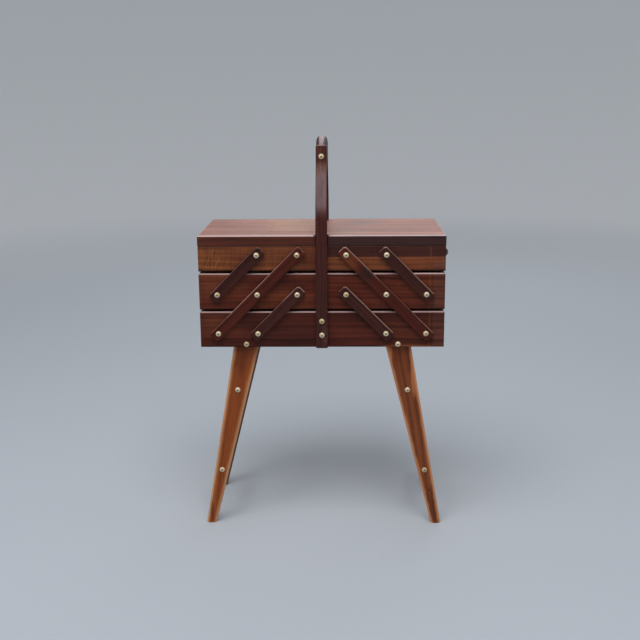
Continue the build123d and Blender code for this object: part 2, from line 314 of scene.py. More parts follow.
def box_inside(low: Vector, high: Vector) -> Measure:
    """Makes the mask of walls that face the middle of a tray.

    Args:
        low: lowest corner of the tray.
        high: highest corner of the tray.

    Returns:
        A mask that is 1 on the walls' inner faces.
    """
    middle = (low + high) / 2
    half = (high - low) / 2

    def mask(surface: Surface) -> Value:
        """Looks at one point.

        Args:
            surface: the point.

        Returns:
            1 where it faces the middle, 0 where it faces away.
        """
        inward_x = surface.facing_x * (middle.x - surface.x) / half.x
        inward_y = surface.facing_y * (middle.y - surface.y) / half.y
        return (inward_x + inward_y).ramp(*INNER_FACING)
    return mask


@dataclass(frozen=True)
class Mark:
    """Change of a board's colour in some places.

    Attributes:
        colour: colour of the mark.
        strength: share of that colour where the mark is full.
    """

    colour: Colour
    strength: float

    def mask(self, surface: Surface, ragged: Value) -> Value:
        """Share of the mark's colour at a point, up to its strength, with noise for ragged outlines."""
        raise NotImplementedError


@dataclass(frozen=True)
class Patch(Mark):
    """Mark around a place.

    Attributes:
        middle: middle of the patch.
        reach: how far it goes each way, very large where it goes on.
        soft: share of the reach over which it fades.
        shape: outline of the patch.
    """

    middle: Triple
    reach: Triple
    soft: float = 0.8
    shape: PatchShape = PatchShape.CLOUD

    def mask(self, surface: Surface, ragged: Value) -> Value:
        """Gives the share of the patch's colour at a point.

        Args:
            surface: the point.
            ragged: noise for a ragged outline.

        Returns:
            The strength at the middle, fading to 0 at the reach.
        """
        places = zip((surface.x, surface.y, surface.z), self.middle, self.reach)
        parts = [((part - middle) / reach).size() for part, middle, reach in places]
        if self.shape is PatchShape.BAND:
            distance = reduce(Value.most, parts)
        else:
            distance = reduce(Value.__add__, [part * part for part in parts]).root()
        return (distance + (ragged - 0.5) * self.soft).ramp(1.0, 1.0 - self.soft) * self.strength


@dataclass(frozen=True)
class Turned(Mark):
    """Mark on the faces that look one way.

    Attributes:
        direction: the way they look.
        start: share of that direction at which the mark begins.
        stop: share at which it is full.
        edge_only: whether it leaves out the faces that look straight that way.
        broken: share of the mark that is missing in places.
        straight: shares of the direction between which a face counts as straight.
        gaps: noise between which the missing places begin and are full.
    """

    direction: Triple = ALONG_Z
    start: float = 0.3
    stop: float = 0.65
    edge_only: bool = False
    broken: float = 0.0
    straight: Pair = (0.94, 0.985)
    gaps: Pair = (0.56, 0.42)

    def mask(self, surface: Surface, ragged: Value) -> Value:
        """Gives the share of the mark's colour at a point, by the way it looks.

        Args:
            surface: the point.
            ragged: noise that leaves out places.

        Returns:
            A share between 0 and the mark's strength.
        """
        share = surface.shader.dot(surface.facing, self.direction)
        full = share.ramp(self.start, self.stop) * self.strength
        if self.edge_only:
            full = full * (1.0 - share.ramp(*self.straight))
        return full * (1.0 - ragged.ramp(*self.gaps) * self.broken)


@dataclass(frozen=True)
class Bevel(Mark):
    """Mark on the planed corners between the sides of a leg and its front or rear.

    Attributes:
        broken: share of the mark that is missing in places.
        begin: shares of facing front or rear between which a corner begins.
        end: shares between which it ends.
        gaps: noise between which the missing places begin and are full.
    """

    broken: float = 0.0
    begin: Pair = (0.3, 0.5)
    end: Pair = (0.95, 0.85)
    gaps: Pair = (0.5, 0.4)

    def mask(self, surface: Surface, ragged: Value) -> Value:
        """Gives the share of the mark's colour at a point, by how far it looks half sideways.

        Args:
            surface: the point.
            ragged: noise that leaves out places.

        Returns:
            A share between 0 and the mark's strength.
        """
        share = surface.facing_y.size()
        corner = share.ramp(*self.begin) * share.ramp(*self.end)
        return corner * (1.0 - ragged.ramp(*self.gaps) * self.broken) * self.strength


@dataclass(frozen=True)
class Chips(Mark):
    """Small chips in the varnish around a place.

    Attributes:
        where: patch that holds them; its strength is the share that is chipped.
        size: size of a chip.
        level: noise above which there are chips outside the patch.
        drop: how far that level falls inside it.
        rim: climb of the noise over the rim of a chip.
    """

    where: Patch
    size: float
    level: float = 0.75
    drop: float = 0.25
    rim: float = 0.04

    def mask(self, surface: Surface, ragged: Value) -> Value:
        """Gives the share of the mark's colour at a point.

        Args:
            surface: the point.
            ragged: noise for the outline of the patch that holds the chips.

        Returns:
            The strength in a chip, 0 between the chips.
        """
        specks = surface.shader.noise(surface.place, detail=2.0, roughness=0.6, scale=1.0 / self.size)
        limit = self.level - self.where.mask(surface, ragged) * self.drop
        return specks.ramp(limit, limit + self.rim) * self.strength


@dataclass(frozen=True)
class Wear:
    """Rubbing along the edges of a board.

    Attributes:
        colour: colour of the rubbed wood.
        width: how far the rubbing reaches from the edge.
        ragged: how far it wanders.
        strength: share of the colour at the edge.
        fade: share of the width over which it fades to either side.
        least: share of the strength in the least rubbed places.
        patches: noise between which the rubbing grows from the least to all of it.
    """

    colour: Colour
    width: float
    ragged: float
    strength: float
    fade: float = 0.4
    least: float = 0.35
    patches: Pair = (0.32, 0.55)

    def mask(self, surface: Surface, edge: Value) -> Value:
        """Gives the share of rubbed wood at a point.

        Args:
            surface: the point.
            edge: its distance from the nearest edge.

        Returns:
            A mask between 0 and the wear's strength.
        """
        shader = surface.shader
        wander = shader.noise(surface.place, detail=4.0, roughness=0.65, scale=38.0)
        patchy = shader.noise(surface.place, detail=2.0, scale=11.0).ramp(*self.patches)
        reach = self.width + (wander - 0.5) * self.ragged
        fade = self.width * self.fade
        share = self.least + (1.0 - self.least) * patchy
        return edge.ramp(reach + fade, reach - fade) * share * self.strength


@dataclass(frozen=True)
class Ribbon:
    """Bands of light and shade across the grain.

    Attributes:
        width: width of a band.
        lean: how far a band leans along the grain for its height.
        strength: how strongly the bands show.
        where: patch that they keep to, whose colour isn't used.
    """

    width: float
    lean: float
    strength: float
    where: Optional[Patch] = None


@dataclass(frozen=True)
class Board:
    """One piece of wood and how it was cut.

    Attributes:
        node: the piece's name.
        along: direction of the grain.
        across: direction across the grain on the main face.
        edge: measure of the distance from the nearest edge.
        inside: mask of the faces that were left without stain.
        stains: marks under the grain.
        rubs: marks over the grain.
        ribbons: bands across the grain.
    """

    node: str
    along: Triple
    across: Triple
    edge: Optional[Measure] = None
    inside: Optional[Measure] = None
    stains: tuple[Mark, ...] = ()
    rubs: tuple[Mark, ...] = ()
    ribbons: tuple[Ribbon, ...] = ()


@dataclass(frozen=True)
class Weights:
    """How much each part of the grain counts in a sum.

    Attributes:
        streaks: weight of the streaks.
        fibres: weight of the fibres.
        clouds: weight of the clouds.
        pits: weight of the pits.
    """

    streaks: float = 0.0
    fibres: float = 0.0
    clouds: float = 0.0
    pits: float = 0.0


class Grain:
    """Figure of a board at a point of its surface."""

    RING_TILT = 0.8
    RING_WANDER = 0.035
    STREAKS_PER_METRE = 1.1
    BAND_BREAKS_PER_METRE = 14.0
    PORE_NOISE: Pair = (0.56, 0.68)
    DARK_STREAKS: Pair = (0.62, 0.42)
    END_FACING: Pair = (0.7, 0.95)

    def __init__(self, surface: Surface, board: Board, streak_width: float) -> None:
        """Reads the board's streaks, fibres, clouds, pits and end grain.

        Args:
            surface: the point.
            board: the board.
            streak_width: width of a streak.
        """
        shader = surface.shader
        self.surface = surface
        self.shift = luck(board.node)
        depth_axis = Vector(board.along).cross(Vector(board.across))
        self.along = shader.dot(surface.place, board.along)
        self.across = shader.dot(surface.place, board.across)
        self.deep = shader.dot(surface.place, tuple(depth_axis))
        wander = self.field(lengthwise=2.4, crosswise=7.0, detail=2.0)
        ring = self.across + self.deep * self.RING_TILT + (wander - 0.5) * self.RING_WANDER
        place = shader.vector(self.along * self.STREAKS_PER_METRE, ring / streak_width, self.shift)
        self.streaks = shader.noise(place, detail=4.0, roughness=0.62)
        self.fibres = self.field(lengthwise=16.0, crosswise=850.0, detail=2.0)
        self.clouds = self.field(lengthwise=7.0, crosswise=17.0, detail=3.0)
        pores = self.field(lengthwise=60.0, crosswise=1500.0, detail=1.0)
        self.pits = pores.ramp(*self.PORE_NOISE) * self.streaks.ramp(*self.DARK_STREAKS)
        self.ends = shader.dot(surface.facing, board.along).size().ramp(*self.END_FACING)

    def field(self, lengthwise: float, crosswise: float, detail: float) -> Value:
        """Noise stretched along the grain.

        Args:
            lengthwise: clouds per metre along the grain.
            crosswise: clouds per metre across it.
            detail: number of finer layers.

        Returns:
            A value around one half.
        """
        shader = self.surface.shader
        depth = self.deep * crosswise + self.shift
        place = shader.vector(self.along * lengthwise, self.across * crosswise, depth)
        return shader.noise(place, detail, roughness=0.58)

    def sum(self, weights: Weights) -> Value:
        """Weighted sum of the parts, in which noise counts from its middle."""
        lines = (self.streaks - 0.5) * weights.streaks + (self.fibres - 0.5) * weights.fibres
        return lines + (self.clouds - 0.5) * weights.clouds + self.pits * weights.pits

    def bands(self, ribbon: Ribbon) -> Value:
        """Gives the tone of the bands of a ribbon.

        Args:
            ribbon: the bands.

        Returns:
            A tone around zero.
        """
        shader = self.surface.shader
        slant = (self.along + self.across * ribbon.lean) / ribbon.width
        breaks = self.BAND_BREAKS_PER_METRE
        place = shader.vector(slant, self.across * breaks, self.deep * breaks + self.shift)
        tone = (shader.noise(place, detail=2.0, roughness=0.6) - 0.5) * ribbon.strength
        return tone * ribbon.where.mask(self.surface, self.clouds) if ribbon.where else tone


def new_material(name: str) -> tuple[bpy.types.Material, Shader]:
    """Makes a material with an empty tree.

    Args:
        name: the material's name.

    Returns:
        The material and the shader that writes its tree.
    """
    material = bpy.data.materials.new(name)
    material.use_nodes = True
    return material, Shader(material.node_tree)


def wear_material(node: str, material: bpy.types.Material) -> None:
    """Puts a material on a CAD node in place of its plain one.

    Args:
        node: the node's name.
        material: its new material.
    """
    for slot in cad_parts[node].material_slots:
        slot.material = material
    log.info("dressed %s", node)


@dataclass(frozen=True)
class Wood:
    """Stained and varnished wood.

    Attributes:
        body: main colour.
        wear: rubbing along the edges.
        raw: colour of faces without stain.
        streak_width: width of a streak.
        contrast: how strongly the figure shows.
        roughness: roughness of the varnish.
        gloss: specular level of the varnish.
        coat: weight of the clear coat.
        coat_roughness: roughness of the clear coat.
        dark: share of each colour that is left in the darkest streaks.
        light: share of each colour in the palest streaks.
        end_grain: stain that the ends of the fibres soak up.
        end_share: share of that stain.
        tone: how the grain lightens and darkens the figure.
        pit_tone: how much a pit darkens it.
        uneven: how the grain roughens the varnish.
        raw_roughness: roughness that faces without stain add.
        worn_roughness: roughness that the rubbing adds.
        relief: how the grain stands out.
        relief_strength: share of the relief that shows.
        relief_depth: depth of the relief.
    """

    body: Colour
    wear: Optional[Wear] = None
    raw: Colour = tint("b08458")
    streak_width: float = 0.006
    contrast: float = 1.0
    roughness: float = 0.42
    gloss: float = 0.12
    coat: float = 0.03
    coat_roughness: float = 0.3
    dark: Colour = (0.38, 0.31, 0.31, 1.0)
    light: Colour = (1.68, 1.66, 1.5, 1.0)
    end_grain: Colour = tint("1e0e0a")
    end_share: float = 0.45
    tone: Weights = Weights(streaks=1.725, fibres=0.525, clouds=0.825)
    pit_tone: float = 0.22
    uneven: Weights = Weights(fibres=0.16, clouds=0.16, pits=0.15)
    raw_roughness: float = 0.25
    worn_roughness: float = 0.1
    relief: Weights = Weights(streaks=0.35, fibres=0.4, clouds=0.25, pits=-0.6)
    relief_strength: float = 0.35
    relief_depth: float = 0.0006

    def dress(self, board: Board) -> None:
        """Gives a board's node its own material of this wood.

        Args:
            board: the board to dress.
        """
        material, shader = new_material(f"{board.node}_wood")
        self.paint(shader, board)
        wear_material(board.node, material)

    def paint(self, shader: Shader, board: Board) -> None:
        """Writes the material's nodes.

        Args:
            shader: the material's tree.
            board: the board to dress.
        """
        surface = Surface(shader)
        grain = Grain(surface, board, self.streak_width)
        colour: Paint = self.body
        for stain in board.stains:
            colour = shader.mix(stain.mask(surface, grain.clouds), colour, stain.colour)
        roughness = self.roughness + grain.sum(self.uneven)
        if board.inside:
            inside = board.inside(surface)
            colour = shader.mix(inside, colour, self.raw)
            roughness = roughness + inside * self.raw_roughness
        colour = shader.mix(1.0, colour, self.figure(shader, grain, board), "MULTIPLY")
        colour = shader.mix(grain.ends * self.end_share, colour, self.end_grain)
        if self.wear and board.edge:
            rubbed = self.wear.mask(surface, board.edge(surface))
            colour = shader.mix(rubbed, colour, self.wear.colour)
            roughness = roughness + rubbed * self.worn_roughness
        for rub in board.rubs:
            colour = shader.mix(rub.mask(surface, grain.clouds), colour, rub.colour)
        normal = shader.relief(grain.sum(self.relief), self.relief_strength, self.relief_depth)
        varying = {"Base Color": colour, "Roughness": roughness, "Normal": normal}
        fixed = {
            "Specular IOR Level": self.gloss,
            "Coat Weight": self.coat,
            "Coat Roughness": self.coat_roughness,
        }
        shader.principled(varying, fixed)

    def figure(self, shader: Shader, grain: Grain, board: Board) -> Value:
        """Gives the share of each colour that the figure leaves.

        Args:
            shader: the material's tree.
            grain: the board's figure.
            board: the board.

        Returns:
            A colour that the stain is multiplied by.
        """
        tone = grain.sum(self.tone)
        for ribbon in board.ribbons:
            tone = tone + grain.bands(ribbon)
        share = 0.5 + tone * self.contrast - grain.pits * self.pit_tone
        return shader.mix(share.most(0.0), self.dark, self.light)


@dataclass(frozen=True)
class Brass:
    """Old brass with a dull skin.

    Attributes:
        bright: colour of rubbed brass.
        dull: colour of its brown skin.
        grime: colour in the recesses.
        tarnish: share of the surface that is dull.
        roughness: roughness of the rubbed metal.
        metal: share of the surface that is bare metal.
        skin_fade: noise over which the skin begins.
        unlike: how far one piece is duller than another.
        scuff_noise: noise between which a scuff begins and is full.
        scuffed: share of the dull colour in scuffs.
        dull_metal: share of the metal that the skin hides.
        dull_roughness: roughness that the skin adds.
        scuff_roughness: how far scuffs change the roughness.
        grime_roughness: roughness that grime adds.
        relief_strength: share of the relief that shows.
        relief_depth: depth of the relief.
    """

    bright: Colour
    dull: Colour
    grime: Colour
    tarnish: float
    roughness: float
    metal: float = 1.0
    skin_fade: float = 0.3
    unlike: float = 0.6
    scuff_noise: Pair = (0.58, 0.72)
    scuffed: float = 0.4
    dull_metal: float = 0.15
    dull_roughness: float = 0.16
    scuff_roughness: float = 0.2
    grime_roughness: float = 0.25
    relief_strength: float = 0.3
    relief_depth: float = 0.0003

    def dress(self, node: str, recess: Optional[Measure] = None) -> None:
        """Gives a node its own material of this brass.

        Args:
            node: the node's name.
            recess: mask of places that hold grime.
        """
        material, shader = new_material(f"{node}_brass")
        surface = Surface(shader)
        moved = shader.vector(surface.x, surface.y, surface.z + luck(node))
        clouds = shader.noise(moved, detail=4.0, roughness=0.6, scale=160.0)
        scuffs = shader.noise(moved, detail=3.0, roughness=0.6, scale=900.0)
        each = shader.noise(moved, detail=0.0, scale=24.0)
        skin = 1.0 - self.tarnish
        dullness = (clouds + (each - 0.5) * self.unlike).ramp(skin - self.skin_fade, skin)
        colour = shader.mix(dullness, self.bright, self.dull)
        colour = shader.mix(scuffs.ramp(*self.scuff_noise) * self.scuffed, colour, self.dull)
        metallic = self.metal - dullness * self.dull_metal
        roughness = self.roughness + dullness * self.dull_roughness + (scuffs - 0.5) * self.scuff_roughness
        if recess:
            hidden = recess(surface)
            colour = shader.mix(hidden, colour, self.grime)
            metallic = metallic * (1.0 - hidden)
            roughness = roughness + hidden * self.grime_roughness
        height = scuffs * 0.5 + clouds * 0.5
        varying = {
            "Base Color": colour,
            "Metallic": metallic,
            "Roughness": roughness,
            "Normal": shader.relief(height, self.relief_strength, self.relief_depth),
        }
        shader.principled(varying, {})
        wear_material(node, material)


FAR = 10.0
NO_COLOUR = tint("000000")
# Colour of the painted shade at the bottom of the upper trays and under the lids.
PAINTED_SHADE = tint("2a150e")

TRAY_WEAR = Wear(tint("7d4a38"), 0.001, 0.0024, 0.3)
LINK_WEAR = Wear(tint("6d4438"), 0.0006, 0.0014, 0.3)
LEG_WEAR = Wear(tint("bd7a4c"), 0.0058, 0.004, 0.8)
WORN_LEG_WEAR = Wear(tint("bd7344"), 0.0048, 0.0075, 0.9)

BASE_WOOD = Wood(tint("52241b"), TRAY_WEAR)
TRAY_WOOD = Wood(tint("5b291c"), TRAY_WEAR)
FIGURED_WOOD = Wood(tint("78432a"), TRAY_WEAR, contrast=0.85)
# Pale body colour: the lid's wood colour together with a painted sheen of its top; the lid's sides are painted
# darker in Lid.dress.
LID_WOOD_WITH_SHEEN = Wood(
    tint("a46f61"), TRAY_WEAR, streak_width=0.009, contrast=1.05, roughness=0.4, gloss=0.3, coat=0.12
)
PLUM_LINK = Wood(tint("41211d"), LINK_WEAR, streak_width=0.004, contrast=0.8)
RED_LINK = Wood(tint("522219"), LINK_WEAR, streak_width=0.004, contrast=0.8)
HANDLE_WOOD = Wood(tint("4a231e"), streak_width=0.0032, contrast=0.9, gloss=0.15, coat=0.1)
GRIP_WOOD = replace(HANDLE_WOOD, gloss=0.12, coat=0.0)
LEG_WOOD = Wood(tint("944d26"), LEG_WEAR, streak_width=0.0045, contrast=0.5)
RED_LEG_WOOD = Wood(tint("7e452a"), WORN_LEG_WEAR, streak_width=0.0045, contrast=0.75)
PLAIN_BOTTOM = Wood(tint("a77c50"), contrast=0.5, roughness=0.65, gloss=0.2, coat=0.0)
KNOB_POLISH = Wood(
    tint("241411"), streak_width=0.003, roughness=0.2, gloss=0.5, coat=0.6, coat_roughness=0.08
)
SCREW_BRASS = Brass(tint("ecd9b8"), tint("c9b07f"), tint("8c744c"), 0.25, 0.5, 0.3)
HINGE_BRASS = Brass(tint("cdb27a"), tint("7f643a"), tint("3a2a1a"), 0.45, 0.36)

# Painted highlight: pale lilac on the rounded edges that look up.
TIER_RIM_HIGHLIGHT = Turned(tint("c9aca9"), 0.9, start=0.12, stop=0.42, edge_only=True, broken=0.25)
# Painted shade on the faces that look down.
SHADED_RIM = Turned(tint("22100c"), 0.75, direction=DOWN, start=0.1, stop=0.55)
# Painted shade along the bottom of the upper trays, above the gap to the middle tier.
SEAM_SHADE = Patch(PAINTED_SHADE, 0.6, (0.0, 0.0, 0.478), (FAR, FAR, 0.0062), 0.8, PatchShape.BAND)
# Painted shade along the top of the upper trays, just under the lids.
UNDER_LID_SHADE = Patch(PAINTED_SHADE, 0.42, (0.0, 0.0, 0.5235), (FAR, FAR, 0.0068), 0.7, PatchShape.BAND)
# Painted highlight: pale line on the faces of the links that look up, missing in places.
LINK_RIM_HIGHLIGHT = Turned(tint("b8988c"), 0.7, start=0.25, stop=0.6, broken=0.75)
END_STRIP = Patch(tint("8a5a3c"), 0.22, (0.1885, 0.0, 0.45), (0.0032, FAR, FAR), 0.9, PatchShape.BAND)
END_BAND = Patch(tint("643d33"), 0.6, (0.205, 0.0, 0.45), (0.013, FAR, FAR), 0.3, PatchShape.BAND)


class Assembly(Protocol):
    """Part of the box that dresses its own pieces."""

    def dress(self) -> None:
        """Gives each of its pieces a material."""


@dataclass
class BaseBox:
    """Fixed box that carries the links, the legs and the handle.

    Attributes:
        stains: marks on its front and rear, one of them a painted shadow below the left long link.
        rubs: painted highlight and painted shade on the rounded edges of its front and rear, and a rubbed place
            near the bottom.
    """

    stains: tuple[Mark, ...] = (
        Patch(tint("6b3827"), 0.8, (-0.175, 0.0, 0.385), (0.06, FAR, 0.035)),
        Patch(tint("5e3020"), 0.6, (0.15, 0.0, 0.375), (0.06, FAR, 0.045)),
        Patch(tint("41201c"), 0.6, (-0.06, 0.0, 0.36), (0.09, FAR, 0.04)),
        # Painted shadow below the left long link.
        Patch(tint("341713"), 0.55, (-0.128, 0.0, 0.382), (0.035, FAR, 0.025)),
        END_STRIP,
        END_BAND,
    )
    rubs: tuple[Mark, ...] = (
        TIER_RIM_HIGHLIGHT,
        SHADED_RIM,
        Patch(tint("a4623a"), 0.6, (0.15, 0.0, 0.3445), (0.07, FAR, 0.0022), 0.7),
    )

    def dress(self) -> None:
        """Dresses the four walls and the bottom."""
        low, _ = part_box("base_left_end")
        _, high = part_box("base_right_end")
        inside = box_inside(Vector((low.x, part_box("base_front_panel")[0].y, low.z)),
                            Vector((high.x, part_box("base_rear_panel")[1].y, high.z)))
        for face in Face:
            node = f"base_{face.word}_panel"
            edge = box_edges(*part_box(node))
            BASE_WOOD.dress(Board(node, ALONG_X, ALONG_Z, edge, inside, self.stains, self.rubs))
        for side in Side:
            node = f"base_{side.word}_end"
            BASE_WOOD.dress(Board(node, ALONG_Y, ALONG_Z, box_edges(*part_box(node)), inside, rubs=(TIER_RIM_HIGHLIGHT,)))
        PLAIN_BOTTOM.dress(Board("base_bottom_panel", ALONG_X, ALONG_Y))


@dataclass
class Tray:
    """Swinging tray of one tier on one side.

    Attributes:
        side: half of the box that it belongs to.
        tier: tier that it belongs to.
    """

    side: Side
    tier: Tier

    def node(self, part: str) -> str:
        """Name of the node of one part of the tray."""
        return f"{self.side.word}_{self.tier.word}_tray_{part}"

    def stains(self) -> tuple[Mark, ...]:
        """Gives the marks on the tray's front and rear.

        Returns:
            Marks that differ by side and tier.
        """
        if self.tier is Tier.MIDDLE and self.side is Side.LEFT:
            return (
                Patch(tint("7c432c"), 0.8, (-0.18, 0.0, 0.46), (0.06, FAR, 0.035)),
                Patch(tint("703a22"), 0.6, (-0.06, 0.0, 0.425), (0.06, FAR, 0.03)),
            )
        if self.tier is Tier.MIDDLE:
            return (
                Patch(tint("6d3620"), 0.6, (0.165, 0.0, 0.46), (0.05, FAR, 0.03)),
                END_STRIP,
                END_BAND,
            )
        if self.side is Side.LEFT:
            return (
                Patch(tint("905632"), 0.8, (-0.205, 0.0, 0.495), (0.06, FAR, 0.04)),
                Patch(tint("5c2c20"), 0.6, (-0.02, 0.0, 0.50), (0.035, FAR, 0.05)),
            )
        return (
            Patch(tint("452521"), 0.97, (0.1, 0.0, 0.5265), (FAR, FAR, 0.0245), 0.1, PatchShape.BAND),
            END_STRIP,
            Patch(tint("774838"), 0.9, (0.205, 0.0, 0.488), (0.014, FAR, 0.012), 0.4, PatchShape.BAND),
        )

    def ribbons(self) -> tuple[Ribbon, ...]:
        """Gives the bands across the grain of the tray's front and rear.

        Returns:
            Slanted flames and upright flecks on the upper left tray, faint flecks elsewhere.
        """
        if self.tier is Tier.UPPER and self.side is Side.LEFT:
            flames = Patch(NO_COLOUR, 1.0, (-0.21, 0.0, 0.495), (0.055, FAR, 0.06))
            return (Ribbon(0.0046, -0.5, 1.35, flames), Ribbon(0.0032, -0.06, 0.75))
        return (Ribbon(0.004, 0.08, 0.3),)

    def dress(self) -> None:
        """Dresses the walls and the bottom."""
        low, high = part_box(self.node("ends"))
        inside = box_inside(Vector((low.x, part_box(self.node("front"))[0].y, low.z)),
                            Vector((high.x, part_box(self.node("rear"))[1].y, high.z)))
        wood = FIGURED_WOOD if self.tier is Tier.UPPER else TRAY_WOOD
        # Painted highlight and shade on the rounded edges of the middle trays; painted shade on the upper
        # trays' lower edges, bottoms and tops under the lids.
        rubs = (TIER_RIM_HIGHLIGHT, SHADED_RIM) if self.tier is Tier.MIDDLE else (SHADED_RIM, SEAM_SHADE, UNDER_LID_SHADE)
        for face in Face:
            node = self.node(face.word)
            edge = box_edges(*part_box(node))
            board = Board(node, ALONG_X, ALONG_Z, edge, inside, self.stains(), rubs, self.ribbons())
            wood.dress(board)
        TRAY_WOOD.dress(Board(self.node("ends"), ALONG_Y, ALONG_Z, box_edges(low, high), inside, rubs=rubs))
        PLAIN_BOTTOM.dress(Board(self.node("bottom"), ALONG_X, ALONG_Y))


@dataclass
class Lid:
    """Hinged lid of one side.

    Attributes:
        side: half of the box that it covers.
        lower_edge: height of its lower edge.
        seam_reach: how far the painted shadow line there goes up and down.
        notch_place: distance of the notches from the middle plane.
        notch_reach: how far the painted shade in a notch goes each way.
    """

    side: Side
    lower_edge: float = 0.5236
    seam_reach: float = 0.0011
    notch_place: float = 0.099
    notch_reach: Triple = (0.015, 0.0065, FAR)

    def dress(self) -> None:
        """Dresses the board, with painted shade on its sides and in its notches, a painted highlight on the
        upper rim and a painted shadow line along the lower edge.
        """
        node = f"{self.side.word}_lid"
        # Painted shade: the sides of the lid, and its notches below, are darker than its pale top.
        side_shade = tint("572410") if self.side is Side.LEFT else tint("3e1f1c")
        stains = self.clouds() + (Turned(side_shade, 1.0, start=0.7, stop=0.35),)
        # Painted highlight on the rounded upper rim.
        rim = Turned(tint("d4bcbc"), 0.9, start=0.2, stop=0.5, edge_only=True, broken=0.15)
        edge = box_edges(*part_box(node))
        line = (0.0, 0.0, self.lower_edge)
        # Painted shadow line along the lower edge, over the gap to the tray.
        seam_shadow = Patch(tint("1e0e0c"), 0.6, line, (FAR, FAR, self.seam_reach), 0.3, PatchShape.BAND)
        rubs = [rim, seam_shadow]
        # Painted shade in the notches beside the slats, over the rim highlight.
        for face in Face:
            middle = (0.0, face.value * self.notch_place, self.lower_edge)
            rubs.append(Patch(side_shade, 0.9, middle, self.notch_reach, 0.15, PatchShape.BAND))
        LID_WOOD_WITH_SHEEN.dress(Board(node, ALONG_X, ALONG_Y, edge, self.underside, stains, tuple(rubs)))

    def clouds(self) -> tuple[Mark, ...]:
        """Gives the marks on the lid's top.

        Returns:
            A golden place beside the handle on the left, a painted grey sheen in streaks on the right.
        """
        if self.side is Side.LEFT:
            return (Patch(tint("bd8b6b"), 0.85, (-0.055, 0.03, 0.54), (0.075, 0.12, FAR)),)
        return (
            # Painted sheen: grey streaks on the right lid.
            Patch(tint("8f7570"), 0.7, (0.075, 0.04, 0.54), (0.06, 0.05, FAR)),
            Patch(tint("a98268"), 0.6, (0.05, -0.07, 0.54), (0.05, 0.04, FAR)),
        )

    @staticmethod
    def underside(surface: Surface) -> Value:
        """Mask of the face that looks down into the tray."""
        return surface.facing_z.ramp(*UNDERSIDE_FACING)


@dataclass
class LinkSet:
    """The six links that carry the trays of one side.

    Attributes:
        side: half of the box that they carry.
        width: width of a link.
        corner: radius of the corners of its ends.
    """

    side: Side
    width: float = 0.0195
    corner: float = 0.0055

    def dress(self) -> None:
        """Dresses the links of both faces."""
        slope = math.sqrt(0.5)
        along = (-self.side.value * slope, 0.0, slope)
        across = (self.side.value * slope, 0.0, slope)
        for face in Face:
            for kind in LinkKind:
                node = f"{self.side.word}_{face.word}_{kind.word}_link"
                wood = RED_LINK if kind is LinkKind.LONG else PLUM_LINK
                edge = self.outline(node, along, across)
                wood.dress(Board(node, along, across, edge, None, self.stains(kind), (LINK_RIM_HIGHLIGHT,)))

    def stains(self, kind: LinkKind) -> tuple[Mark, ...]:
        """Gives the marks on a link.

        Args:
            kind: which of the three links it is.

        Returns:
            A pale upper end with a dark place below it on the right-hand long link, nothing elsewhere.
        """
        if kind is not LinkKind.LONG or self.side is Side.LEFT:
            return ()
        return (
            Patch(tint("6f3a22"), 0.8, (0.05, 0.0, 0.50), (0.024, FAR, 0.024)),
            Patch(tint("33201f"), 0.8, (0.078, 0.0, 0.475), (0.02, FAR, 0.02)),
        )

    def outline(self, node: str, along: Triple, across: Triple) -> Measure:
        """Makes the measure of the distance from the link's outline.

        Args:
            node: the link's name.
            along: direction along the link.
            across: direction across its face.

        Returns:
            The distance of a point on the link's face from its edge.
        """
        low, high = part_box(node)
        middle = (low + high) / 2
        flat_breadth = self.width / 2 - self.corner
        flat_length = (high.x - low.x - 2 * self.corner) / abs(along[0]) / 2 - flat_breadth

        def distance(surface: Surface) -> Value:
            """Measures one point.

            Args:
                surface: the point.

            Returns:
                Its distance from the outline.
            """
            shader = surface.shader
            length = shader.dot(surface.place, along) - middle.dot(Vector(along))
            breadth = shader.dot(surface.place, across) - middle.dot(Vector(across))
            endways = (length.size() - flat_length).most(0.0)
            sideways = (breadth.size() - flat_breadth).most(0.0)
            return self.corner - (endways * endways + sideways * sideways).root()
        return distance


@dataclass
class Handle:
    """Two bent slats and the grip between them.

    Attributes:
        stains: marks on the slats, one of them a painted sheen below the grip screws.
        rubs: painted sheen on the leaning parts, a painted highlight on the tops, and chipped places on the
            slats.
        crest: painted shade on the sides and a painted sheen on the top of the grip.
    """

    stains: tuple[Mark, ...] = (
        Patch(tint("7a4232"), 0.7, (0.0055, 0.0, 0.615), (0.0022, FAR, 0.05)),
        Patch(tint("5d3630"), 0.6, (-0.003, 0.0, 0.68), (0.012, FAR, 0.03)),
        # Painted sheen on the slats just below the grip screws.
        Patch(tint("7c5c54"), 0.7, (0.0, 0.0, 0.652), (0.03, FAR, 0.018)),
        Patch(tint("3c1d15"), 0.6, (0.0, 0.0, 0.405), (0.03, FAR, 0.1)),
    )
    rubs: tuple[Mark, ...] = (
        # Painted sheen on the leaning parts of the slats, where they look up.
        Turned(tint("8c7578"), 0.32, start=0.12, stop=0.5, broken=0.4),
        # Painted highlight on the up-facing tops of the slats.
        Turned(tint("b8988c"), 0.7, start=0.75, stop=0.95),
        Chips(tint("9a6a54"), 0.26, Patch(NO_COLOUR, 1.0, (0.006, 0.0, 0.365), (0.012, FAR, 0.04)), 0.0022),
    )
    crest: tuple[Mark, ...] = (
        # Painted shade on the sides of the grip.
        Turned(tint("1c0c0b"), 0.75, start=0.9, stop=0.6),
        # Painted sheen along the top of the grip.
        Turned(tint("b2a0a4"), 0.7, start=0.84, stop=0.97, broken=0.2),
    )

    def dress(self) -> None:
        """Dresses the slats and the grip."""
        for face in Face:
            node = f"handle_{face.word}_slat"
            HANDLE_WOOD.dress(Board(node, ALONG_Z, ALONG_X, None, None, self.stains, self.rubs))
        GRIP_WOOD.dress(Board("handle_grip", ALONG_Y, ALONG_Z, rubs=self.crest))


